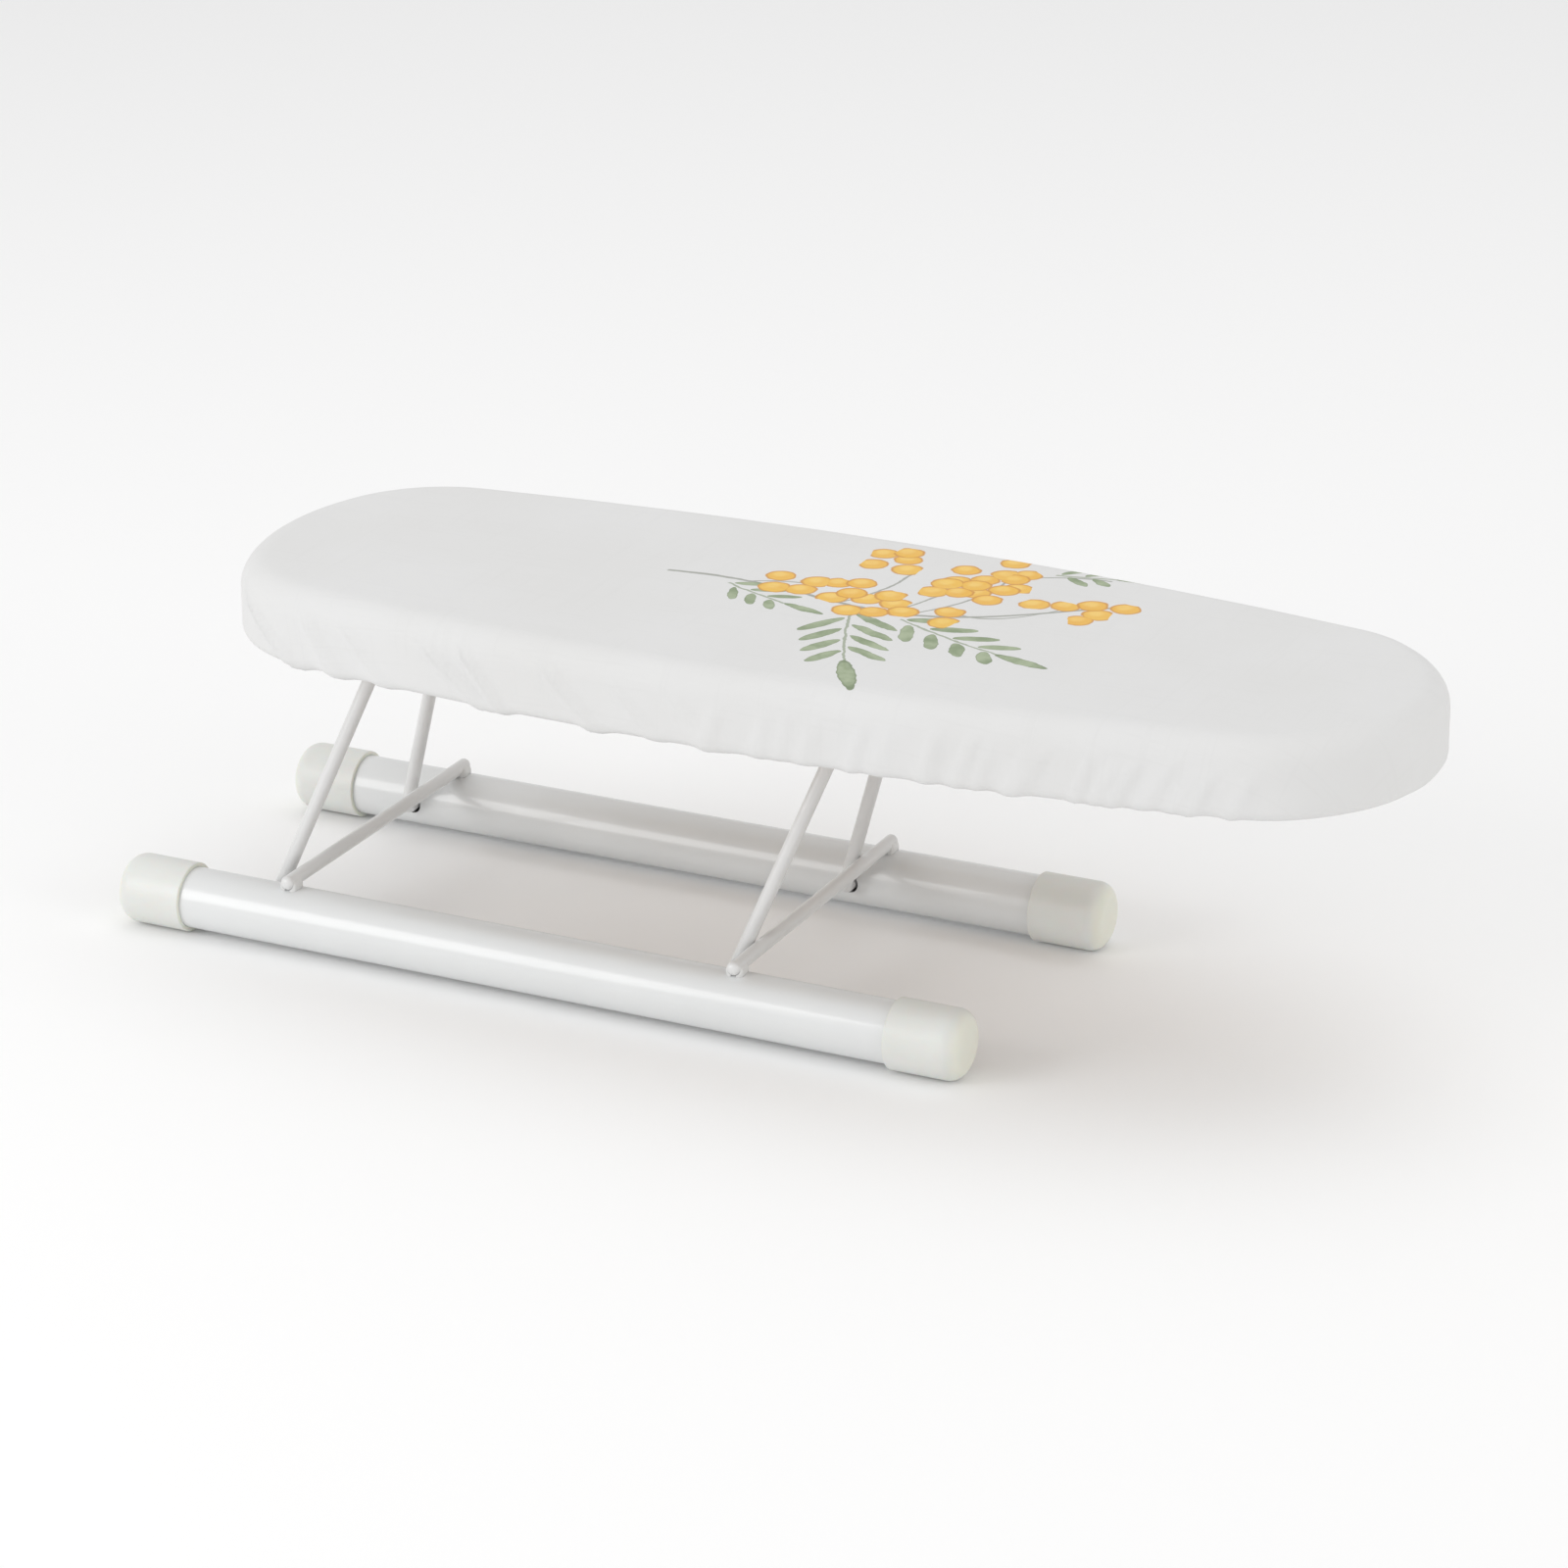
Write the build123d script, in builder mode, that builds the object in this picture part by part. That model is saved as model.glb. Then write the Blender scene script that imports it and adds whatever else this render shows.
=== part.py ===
from build123d import *
from math import acos, cos, degrees, hypot, radians, sin, sqrt
import os

# Small folding table-top ironing board, also called a sleeve board.
#
# Frame: millimetres, +Z up, floor at Z = 0, origin under the middle of the
# whole object as it stands open. +X runs towards the narrow end of the board,
# +Y towards the back foot. Open, both wire legs lean towards +X and rest
# against the cross bars of the base; folded, they swing over towards -X.

# ---------------------------------------------------------------- main sizes
working_height = 137.0  # floor to the ironing surface
board_length = 437.0
board_width = 158.6
board_setback = 29.0  # board's wide end, in from the left end of the feet
foot_length = 328.0  # over both caps
foot_pitch = 123.0  # between the axes of the two feet
leg_pitch = 179.7  # between the two leg pivots, on the base and on the board
left_pivot_setback = 51.8  # left pivot, in from the left end of the feet
leg_lean = 19.75  # degrees from upright, when open

# ---------------------------------------------------------------- the board
widest_point = 200.6  # from the wide end to where the board is widest
wide_shoulder_drop = 5.1  # each side narrows by this, over the wide end's arc centre
narrow_shoulder_drop = 13.0  # the same at the narrow end
wide_end_flatness = 20.8  # end arc's radius, over the half width at its shoulder
narrow_end_flatness = 1.7
wide_corner_radius = 52.0
narrow_corner_radius = 44.0
top_round = 9.5  # soft edge of the ironing surface
deck_thickness = 16.0
pad_thickness = 10.0
cover_thickness = 0.8
deck_edge_round = 3.0
cover_ease = 0.1  # between the cover and what it wraps
hem_width = 24.0  # how far the cover is drawn in under the deck
channel_width = 7.0  # sewn tunnel along the hem
elastic_width = 5.0
elastic_thickness = 1.0
elastic_ease = 0.15  # round the elastic in its tunnel

# ---------------------------------------------------------------- the base
tube_diameter = 22.0
tube_wall = 1.0
cap_wall = 1.45
cap_fit = 0.05  # radial, cap over tube
cap_length = 26.5
cap_end_thickness = 3.5
cap_end_round = 5.7
cap_mouth_round = 0.5
cross_bar_overhang = 4.5  # past the axis of each foot
cross_bar_end_flat = 0.8  # diameter left flat on each domed end
left_bar_slack = 4.5  # the left bar stands this much clear of its leg
weld_radius = 3.4
weld_half_length = 3.2
weld_drop = 1.6  # weld bead centre, below the axis of the bar
weld_gap = 2.0  # left unfilled straight under the bar

# ---------------------------------------------------------------- the legs
wire_diameter = 5.0
leg_foot_inset = 14.5  # wire centre at the pivot, in from the foot's axis
leg_foot_bend = 3.5
leg_top_width = 43.5  # between the two sides, at the top crossbar
leg_top_bend = 6.0
leg_end_depth = 9.0  # wire end past the inner face of the foot
pivot_hole_diameter = 7.0  # loose punched hole for the sprung-in wire end
stop_gap = 0.3  # leg wire to the cross bar that stops it
fold_gap = 0.5  # hem to the cross bars, when folded flat

# ---------------------------------------------------------------- the clips
clip_clearance = 0.1  # radial, round the leg's top crossbar
clip_strap = 1.2
clip_width = 10.0
clip_ear = 9.0
clip_spread = 10.0  # from the centre line to the middle of a clip
clip_corner_round = 1.5
screw_diameter = 3.0
screw_length = 12.0
screw_point = 3.0
screw_fit = 0.05  # radial, in the clip and in the deck
screw_head_diameter = 5.6
screw_head_height = 1.7
screw_head_round = 0.9
slot_width = 0.8
slot_length = 3.4
slot_depth = 0.9

# ---------------------------------------------------------------- worked out
overall_length = max(foot_length, board_setback + board_length)
left_end = -overall_length / 2  # X of the left end of the feet
foot_middle = left_end + foot_length / 2

wire_radius = wire_diameter / 2
tube_radius = tube_diameter / 2
cap_bore_radius = tube_radius + cap_fit
cap_radius = cap_bore_radius + cap_wall
tube_axis_height = cap_radius  # the caps stand on the floor
tube_length = foot_length - 2 * cap_end_thickness
bar_height = tube_axis_height + tube_radius + wire_radius
bar_rise = bar_height - tube_axis_height
bar_length = foot_pitch + 2 * cross_bar_overhang
bar_end_round = (wire_diameter - cross_bar_end_flat) / 2

lean_sin = sin(radians(leg_lean))
lean_cos = cos(radians(leg_lean))
bar_reach = (wire_diameter + stop_gap + bar_rise * lean_sin) / lean_cos

wide_end_radius = board_width / 2 - wide_shoulder_drop + wide_end_flatness
narrow_end_radius = board_width / 2 - narrow_shoulder_drop + narrow_end_flatness
wide_reach = widest_point - wide_end_radius
narrow_reach = board_length - narrow_end_radius - widest_point
wide_side_radius = (wide_reach**2 / wide_shoulder_drop + wide_shoulder_drop) / 2
narrow_side_radius = (narrow_reach**2 / narrow_shoulder_drop + narrow_shoulder_drop) / 2
wide_end_x = left_end + board_setback
narrow_end_x = wide_end_x + board_length
pad_top = working_height - cover_thickness
deck_top = pad_top - pad_thickness
deck_bottom = deck_top - deck_thickness
cover_bottom = deck_bottom - cover_thickness
hem_channel_height = elastic_thickness + 2 * elastic_ease + cover_thickness
hem_bottom = cover_bottom - hem_channel_height
filling_inset = cover_thickness + cover_ease

top_pivot_height = deck_bottom - clip_clearance - wire_radius
leg_length = (top_pivot_height - tube_axis_height) / lean_cos
leg_run = leg_length * lean_sin
base_pivots = [left_end + left_pivot_setback, left_end + left_pivot_setback + leg_pitch]
board_pivots = [base_pivots[0] + leg_run, base_pivots[1] + leg_run]
bar_x = [base_pivots[0] + bar_reach + left_bar_slack, base_pivots[1] + bar_reach]

# Folded flat, the hem comes down to fold_gap above the cross bars.
folded_hem_height = bar_height + wire_radius + fold_gap
folded_pivot_height = folded_hem_height + top_pivot_height - hem_bottom
folded_lean = degrees(acos((folded_pivot_height - tube_axis_height) / leg_length))
fold_angle = leg_lean + folded_lean


def save(piece, name):
    """Label a finished piece and write it."""
    piece.part.label = name
    export_step(piece.part, f"parts/{name}.step")


def along(start, end, distance):
    """The point at a distance from start, on the line through end."""
    reach = hypot(end[0] - start[0], end[1] - start[1])
    share = distance / reach
    return (start[0] + (end[0] - start[0]) * share, start[1] + (end[1] - start[1]) * share)


def corner_centre(end_centre, end_radius, side_centre, side_radius, corner_radius, towards):
    """Centre of the corner arc that touches an end arc and a side arc inside."""
    near = end_radius - corner_radius
    far = side_radius - corner_radius
    gap = hypot(side_centre[0] - end_centre[0], side_centre[1] - end_centre[1])
    step = (near**2 - far**2 + gap**2) / (2 * gap)
    offset = towards * sqrt(near**2 - step**2)
    foot = along(end_centre, side_centre, step)
    ux = (side_centre[0] - end_centre[0]) / gap
    uy = (side_centre[1] - end_centre[1]) / gap
    return (foot[0] - uy * offset, foot[1] + ux * offset)


def arc_middle(centre, start, end, radius):
    """The point halfway round an arc."""
    chord_middle = ((start[0] + end[0]) / 2, (start[1] + end[1]) / 2)
    return along(centre, chord_middle, radius)


def board_sketch(inset):
    """The board's outline seen from above, drawn in by inset all round."""
    widest_x = wide_end_x + widest_point
    wide_end = (wide_end_x + wide_end_radius, 0)
    wide_side = (widest_x, board_width / 2 - wide_side_radius)
    wide_corner = corner_centre(
        wide_end, wide_end_radius, wide_side, wide_side_radius, wide_corner_radius, -1
    )
    narrow_end = (narrow_end_x - narrow_end_radius, 0)
    narrow_side = (widest_x, board_width / 2 - narrow_side_radius)
    narrow_corner = corner_centre(
        narrow_end, narrow_end_radius, narrow_side, narrow_side_radius, narrow_corner_radius, 1
    )
    points = [
        (wide_end_x + inset, 0),
        along(wide_end, wide_corner, wide_end_radius - inset),
        along(wide_side, wide_corner, wide_side_radius - inset),
        (widest_x, board_width / 2 - inset),
        along(narrow_side, narrow_corner, narrow_side_radius - inset),
        along(narrow_end, narrow_corner, narrow_end_radius - inset),
        (narrow_end_x - inset, 0),
    ]
    centres = [wide_end, wide_corner, wide_side, narrow_side, narrow_corner, narrow_end]
    radii = [
        wide_end_radius,
        wide_corner_radius,
        wide_side_radius,
        narrow_side_radius,
        narrow_corner_radius,
        narrow_end_radius,
    ]
    with BuildSketch() as outline:
        with BuildLine():
            for centre, radius, start, end in zip(centres, radii, points, points[1:]):
                ThreePointArc(start, arc_middle(centre, start, end, radius - inset), end)
            mirror(about=Plane.XZ)
        make_face()
    return outline.sketch


def board_block(inset, bottom, top, round_top, round_bottom):
    """A block of the board's outline with its top and bottom edges rounded."""
    with BuildPart() as block:
        with BuildSketch(Plane.XY.offset(bottom)):
            add(board_sketch(inset))
        extrude(amount=top - bottom)
        if round_top:
            fillet(block.faces().sort_by(Axis.Z)[-1].edges(), radius=round_top)
        if round_bottom:
            fillet(block.faces().sort_by(Axis.Z)[0].edges(), radius=round_bottom)
    return block.part


def side_plane(x, y, z):
    """A plane facing the front, with its origin at a point."""
    return Plane(origin=(x, y, z), x_dir=(1, 0, 0), z_dir=(0, -1, 0))


def clip_screw():
    """Pan head screw pointing up, with the underside of its head at the origin."""
    radius = screw_diameter / 2
    head_radius = screw_head_diameter / 2
    with BuildPart() as screw:
        with BuildSketch(Plane.XZ):
            with BuildLine():
                Polyline(
                    (0, -screw_head_height),
                    (head_radius, -screw_head_height),
                    (head_radius, 0),
                    (radius, 0),
                    (radius, screw_length - screw_point),
                    (0, screw_length),
                    close=True,
                )
            make_face()
        revolve(axis=Axis.Z)
        head_rim = screw.edges().filter_by(GeomType.CIRCLE).sort_by(Axis.Z)[0]
        fillet(head_rim, radius=screw_head_round)
        with BuildSketch(Plane.XY.offset(-screw_head_height)):
            Rectangle(slot_length, slot_width)
            Rectangle(slot_width, slot_length)
        extrude(amount=slot_depth, mode=Mode.SUBTRACT)
    return screw.part


def tube_plane(x, y):
    """A plane across a foot, facing +X, with its origin on the foot's axis."""
    return Plane(origin=(x, y, tube_axis_height), x_dir=(0, 1, 0), z_dir=(1, 0, 0))


os.makedirs("parts", exist_ok=True)

# ---------------------------------------------------------------- feet
feet = {"front": -1, "back": 1}  # which side of the centre line
ends = {"left": -1, "right": 1}

for foot, side in feet.items():
    foot_y = side * foot_pitch / 2
    with BuildPart() as tube:
        with BuildSketch(tube_plane(foot_middle - tube_length / 2, foot_y)):
            Circle(tube_radius)
            Circle(tube_radius - tube_wall, mode=Mode.SUBTRACT)
        extrude(amount=tube_length)
        # Each inner wall is punched for the two wire ends.
        for pivot_x in base_pivots:
            with BuildSketch(side_plane(pivot_x, foot_y, tube_axis_height)):
                Circle(pivot_hole_diameter / 2)
            extrude(amount=side * tube_diameter, mode=Mode.SUBTRACT)
    save(tube, f"{foot}_foot_tube")

    for end, direction in ends.items():
        cap_face = foot_middle + direction * foot_length / 2
        with BuildPart() as cap:
            with BuildSketch(tube_plane(cap_face, foot_y)):
                Circle(cap_radius)
            extrude(amount=-direction * cap_length)
            mouth_and_end = cap.faces().sort_by(Axis.X, reverse=direction < 0)
            fillet(mouth_and_end[-1].edges(), radius=cap_end_round)
            fillet(mouth_and_end[0].edges(), radius=cap_mouth_round)
            with BuildSketch(tube_plane(cap_face - direction * cap_end_thickness, foot_y)):
                Circle(cap_bore_radius)
            extrude(amount=-direction * cap_length, mode=Mode.SUBTRACT)
        save(cap, f"{foot}_{end}_cap")

# ---------------------------------------------------------------- cross bars
for end, x in zip(ends, bar_x):
    with BuildPart() as cross_bar:
        with BuildSketch(side_plane(x, 0, bar_height)):
            Circle(wire_radius)
        extrude(amount=bar_length / 2, both=True)
        fillet(cross_bar.edges().filter_by(GeomType.CIRCLE), radius=bar_end_round)
    save(cross_bar, f"{end}_cross_bar")

# A bead on each side of every place where a bar lies on a foot.
with BuildPart() as cross_bar_welds:
    for x in bar_x:
        for side in feet.values():
            with BuildSketch(side_plane(x, side * foot_pitch / 2, bar_height - weld_drop)):
                Circle(weld_radius)
            extrude(amount=weld_half_length, both=True)
    fillet(cross_bar_welds.edges().filter_by(GeomType.CIRCLE), radius=weld_half_length / 2)
    for x in bar_x:
        with BuildSketch(side_plane(x, 0, bar_height)):
            Circle(wire_radius)
            Rectangle(weld_gap, tube_diameter)
        extrude(amount=bar_length, both=True, mode=Mode.SUBTRACT)
    for side in feet.values():
        with BuildSketch(tube_plane(left_end, side * foot_pitch / 2)):
            Circle(tube_radius)
        extrude(amount=foot_length, mode=Mode.SUBTRACT)
save(cross_bar_welds, "cross_bar_welds")

# ---------------------------------------------------------------- wire legs
end_y = foot_pitch / 2 - tube_radius + leg_end_depth
knee_y = foot_pitch / 2 - leg_foot_inset
top_y = leg_top_width / 2

for end, pivot_x in zip(ends, base_pivots):
    leg_plane = Plane(
        origin=(pivot_x, 0, tube_axis_height),
        x_dir=(0, 1, 0),
        z_dir=(lean_cos, 0, -lean_sin),
    )
    with BuildPart() as leg_frame:
        with BuildLine(leg_plane) as wire_path:
            FilletPolyline(
                (-end_y, 0),
                (-knee_y, 0),
                (-top_y, leg_length),
                (top_y, leg_length),
                (knee_y, 0),
                (end_y, 0),
                radius=[leg_foot_bend, leg_top_bend, leg_top_bend, leg_foot_bend],
            )
        with BuildSketch(side_plane(pivot_x, -end_y, tube_axis_height)):
            Circle(wire_radius)
        sweep(path=wire_path.wires()[0])
    save(leg_frame, f"{end}_leg_frame")

# ---------------------------------------------------------------- clips
clip_inner = wire_radius + clip_clearance
clip_outer = clip_inner + clip_strap
clip_drop = deck_bottom - top_pivot_height
screw_offset = clip_outer + clip_ear / 2

for end, x in zip(ends, board_pivots):
    for foot, side in feet.items():
        clip_y = side * clip_spread
        with BuildPart() as clip:
            with BuildSketch(side_plane(x, clip_y, top_pivot_height)):
                Circle(clip_outer)
                with Locations((0, clip_drop / 2)):
                    Rectangle(2 * clip_outer, clip_drop)
                with Locations((0, clip_drop - clip_strap / 2)):
                    Rectangle(2 * (clip_outer + clip_ear), clip_strap)
                with Locations((0, clip_outer)):
                    Rectangle(4 * clip_outer, 2 * (clip_outer - clip_drop), mode=Mode.SUBTRACT)
                Circle(clip_inner, mode=Mode.SUBTRACT)
                with Locations((0, clip_drop)):
                    Rectangle(2 * clip_inner, 2 * clip_drop, mode=Mode.SUBTRACT)
            extrude(amount=clip_width / 2, both=True)
            ear_corners = clip.edges().filter_by(Axis.Z).group_by(Axis.X)
            fillet(ear_corners[0] + ear_corners[-1], radius=clip_corner_round)
            with BuildSketch(Plane.XY.offset(deck_bottom)):
                with Locations((x - screw_offset, clip_y), (x + screw_offset, clip_y)):
                    Circle(screw_diameter / 2 + screw_fit)
            extrude(amount=-clip_outer, mode=Mode.SUBTRACT)
        save(clip, f"{end}_{foot}_clip")

    with BuildPart() as clip_screws:
        for side in feet.values():
            for across in (-screw_offset, screw_offset):
                with Locations((x + across, side * clip_spread, deck_bottom - clip_strap)):
                    add(clip_screw())
    save(clip_screws, f"{end}_clip_screws")

# ---------------------------------------------------------------- deck and pad
pilot_depth = screw_length - clip_strap
pilot_places = []
for x in board_pivots:
    for side in feet.values():
        pilot_places.append((x - screw_offset, side * clip_spread))
        pilot_places.append((x + screw_offset, side * clip_spread))

with BuildPart() as deck_board:
    add(board_block(filling_inset, deck_bottom, deck_top, 0, deck_edge_round))
    with BuildSketch(Plane.XY.offset(deck_bottom)):
        with Locations(*pilot_places):
            Circle(screw_diameter / 2 + screw_fit)
    extrude(amount=pilot_depth + screw_fit, mode=Mode.SUBTRACT)
save(deck_board, "deck_board")

with BuildPart() as foam_pad:
    add(board_block(filling_inset, deck_top, pad_top, top_round - filling_inset, 0))
save(foam_pad, "foam_pad")

# ---------------------------------------------------------------- cover and elastic
inner_edge = hem_width
outer_edge = hem_width - channel_width

with BuildPart() as cover:
    add(board_block(0, cover_bottom, working_height, top_round, deck_edge_round + filling_inset))
    # The space for the pad and the deck.
    add(
        board_block(
            cover_thickness,
            deck_bottom,
            pad_top,
            top_round - cover_thickness,
            deck_edge_round + cover_ease,
        ),
        mode=Mode.SUBTRACT,
    )
    # The tunnel hangs under the hem.
    with BuildSketch(Plane.XY.offset(cover_bottom)):
        add(board_sketch(outer_edge))
    extrude(amount=-hem_channel_height)
    with BuildSketch(Plane.XY.offset(hem_bottom)):
        add(board_sketch(inner_edge))
    extrude(amount=deck_bottom - hem_bottom, mode=Mode.SUBTRACT)
    with BuildSketch(Plane.XY.offset(hem_bottom + cover_thickness)):
        add(board_sketch(outer_edge + (channel_width - elastic_width) / 2 - elastic_ease))
        add(
            board_sketch(inner_edge - (channel_width - elastic_width) / 2 + elastic_ease),
            mode=Mode.SUBTRACT,
        )
    extrude(amount=elastic_thickness + 2 * elastic_ease, mode=Mode.SUBTRACT)
save(cover, "cover")

with BuildPart() as hem_elastic:
    with BuildSketch(Plane.XY.offset(hem_bottom + cover_thickness + elastic_ease)):
        add(board_sketch(outer_edge + (channel_width - elastic_width) / 2))
        add(
            board_sketch(inner_edge - (channel_width - elastic_width) / 2),
            mode=Mode.SUBTRACT,
        )
    extrude(amount=elastic_thickness)
save(hem_elastic, "hem_elastic")

print(f"overall length {overall_length:.1f}, leg length {leg_length:.2f}, run {leg_run:.2f}")
print(f"base pivots X {base_pivots[0]:.2f} {base_pivots[1]:.2f}, Z {tube_axis_height:.2f}")
print(f"board pivots X {board_pivots[0]:.2f} {board_pivots[1]:.2f}, Z {top_pivot_height:.2f}")
print(f"cross bars X {bar_x[0]:.2f} {bar_x[1]:.2f}, Z {bar_height:.2f}")
print(f"deck bottom {deck_bottom:.2f}, hem bottom {hem_bottom:.2f}, fold {fold_angle:.2f} degrees")
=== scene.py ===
# %% [markdown]
# A small table-top ironing board: a padded board in a printed cotton cover, on
# two coupled wire legs, over a low base of two capped steel tubes. The packed
# design holds every part that fits or moves. This file gives those parts their
# finishes, makes the cover and the pad as soft pieces, and sets up the studio.

# %% Load the design
import math

import bpy
import numpy as np
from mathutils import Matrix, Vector


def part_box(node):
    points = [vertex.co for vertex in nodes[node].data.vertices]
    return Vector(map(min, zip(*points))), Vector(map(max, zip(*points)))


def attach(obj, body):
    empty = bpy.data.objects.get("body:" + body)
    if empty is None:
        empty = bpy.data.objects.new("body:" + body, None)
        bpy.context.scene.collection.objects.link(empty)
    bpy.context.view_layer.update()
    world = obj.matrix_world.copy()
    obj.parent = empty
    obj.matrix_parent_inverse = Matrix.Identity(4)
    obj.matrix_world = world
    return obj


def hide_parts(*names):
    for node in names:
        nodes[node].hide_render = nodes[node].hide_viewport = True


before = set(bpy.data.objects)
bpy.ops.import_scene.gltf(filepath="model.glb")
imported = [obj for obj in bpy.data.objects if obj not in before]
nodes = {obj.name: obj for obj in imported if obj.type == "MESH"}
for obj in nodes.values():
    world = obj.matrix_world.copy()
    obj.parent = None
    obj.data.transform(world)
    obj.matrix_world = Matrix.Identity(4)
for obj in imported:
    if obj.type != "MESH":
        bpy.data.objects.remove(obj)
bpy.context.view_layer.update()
MM = 0.001
rng = np.random.default_rng(7)

cover_low, cover_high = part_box("cover")
deck_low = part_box("deck_board")[0]
pad_low, pad_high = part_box("foam_pad")
elastic_low, elastic_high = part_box("hem_elastic")

# %% [markdown]
# Shader maths reads best as plain arithmetic. A Value wraps one socket, and
# each operator adds the Math node that does it, so 1 - mask or x * x + y * y
# can be written as they are thought of. Any other node comes from Finish.add.

# %% Shader arithmetic
class Value:
    """A number that varies over a surface."""

    def __init__(self, finish, socket):
        self.finish = finish
        self.socket = socket

    def math(self, operation, *others):
        inputs = dict(enumerate((self, *others)))
        made = self.finish.add("ShaderNodeMath", {"operation": operation}, inputs)
        return Value(self.finish, made.outputs[0])

    def __add__(self, other):
        return self.math("ADD", other)

    def __radd__(self, other):
        return self.math("ADD", other)

    def __sub__(self, other):
        return self.math("SUBTRACT", other)

    def __rsub__(self, other):
        return self.math("MULTIPLY", -1.0).math("ADD", other)

    def __mul__(self, other):
        return self.math("MULTIPLY", other)

    def __rmul__(self, other):
        return self.math("MULTIPLY", other)

    def __truediv__(self, other):
        return self.math("DIVIDE", other)

    def __abs__(self):
        return self.math("ABSOLUTE")

    def low(self, other):
        return self.math("MINIMUM", other)

    def high(self, other):
        return self.math("MAXIMUM", other)

    def root(self):
        return self.high(0.0).math("SQRT")

    def above(self, edge, soft):
        """0 below edge and 1 above it, turning over a width of soft."""
        inputs = {"Value": self, "From Min": edge - soft / 2, "From Max": edge + soft / 2}
        made = self.finish.add("ShaderNodeMapRange", {"interpolation_type": "SMOOTHSTEP"}, inputs)
        return Value(self.finish, made.outputs[0])

    def below(self, edge, soft):
        return 1 - self.above(edge, soft)


class Finish:
    """One material: its surface shader, and the nodes that vary it."""

    def __init__(self, name, **settings):
        self.material = bpy.data.materials.new(name)
        self.material.use_nodes = True
        self.tree = self.material.node_tree
        self.tree.nodes.clear()
        self.surface = self.add("ShaderNodeBsdfPrincipled")
        out = self.add("ShaderNodeOutputMaterial")
        self.tree.links.new(self.surface.outputs[0], out.inputs["Surface"])
        self.set(**settings)

    def add(self, kind, settings=None, inputs=None):
        node = self.tree.nodes.new(kind)
        for key, value in (settings or {}).items():
            setattr(node, key, value)
        for key, value in (inputs or {}).items():
            if isinstance(value, Value):
                value = value.socket
            if isinstance(value, bpy.types.NodeSocket):
                self.tree.links.new(value, node.inputs[key])
            else:
                node.inputs[key].default_value = value
        return node

    def set(self, **settings):
        """Set sockets of the surface shader; an underscore stands for a space."""
        for key, value in settings.items():
            socket = self.surface.inputs[key.replace("_", " ")]
            if isinstance(value, Value):
                value = value.socket
            if isinstance(value, bpy.types.NodeSocket):
                self.tree.links.new(value, socket)
            elif isinstance(value, tuple) and len(value) == 3 and socket.type == "RGBA":
                socket.default_value = (*value, 1.0)
            else:
                socket.default_value = value

    def place(self):
        """Object coordinates, in metres."""
        return self.add("ShaderNodeTexCoord").outputs["Object"]

    def noise(self, vector, scale, detail=3.0, roughness=0.5, stretch=(1, 1, 1)):
        spread = self.add("ShaderNodeVectorMath", {"operation": "MULTIPLY"}, {0: vector, 1: stretch})
        inputs = {"Vector": spread.outputs[0], "Scale": scale, "Detail": detail, "Roughness": roughness}
        made = self.add("ShaderNodeTexNoise", None, inputs)
        return Value(self, made.outputs[0])

    def mix(self, share, first, second):
        """A colour between two, each a tuple or a socket."""
        colours = [(*c, 1.0) if isinstance(c, tuple) else c for c in (first, second)]
        inputs = {0: share, 6: colours[0], 7: colours[1]}
        made = self.add("ShaderNodeMix", {"data_type": "RGBA"}, inputs)
        return made.outputs[2]

    def bump(self, height, distance):
        inputs = {"Height": height, "Distance": distance, "Strength": 1.0}
        self.set(Normal=self.add("ShaderNodeBump", None, inputs).outputs[0])


def wear(finish, *names):
    """Give CAD parts a finish."""
    for name in names:
        slots = nodes[name].data.materials
        slots.clear()
        slots.append(finish.material)
    print(finish.material.name, "on", ", ".join(names))


# %% [markdown]
# White powder coat is a baked paint: glossy, with the faint pebbled skin that
# painters call orange peel. It gathers a little thicker in places, so the
# roughness drifts slowly, and the peel is a very low bump under a clear coat.

# %% Powder coat
def powder_coat(name, colour, peel):
    finish = Finish(name, Metallic=0.0, IOR=1.5, Coat_Weight=0.35, Coat_Roughness=0.08)
    place = finish.place()
    drift = finish.noise(place, 45.0, 2.0)
    skin = finish.noise(place, 420.0, 1.0)
    specks = finish.noise(place, 2600.0, 1.0).above(0.74, 0.04)
    darker = tuple(0.965 * c for c in colour)
    tint = finish.mix(drift.above(0.5, 0.5) * 0.5, colour, darker)
    finish.set(Base_Color=finish.mix(specks * 0.12, tint, (0.45, 0.45, 0.44)))
    finish.set(Roughness=drift * 0.05 + 0.27)
    finish.bump(skin, peel * MM)
    return finish


wear(powder_coat("tube_paint", (0.745, 0.755, 0.755), 0.012), "front_foot_tube", "back_foot_tube")
wire_paint = powder_coat("wire_paint", (0.735, 0.735, 0.73), 0.008)
wear(wire_paint, "left_leg_frame", "right_leg_frame", "left_cross_bar", "right_cross_bar")
wear(powder_coat("weld_paint", (0.72, 0.72, 0.71), 0.35), "cross_bar_welds")
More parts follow.
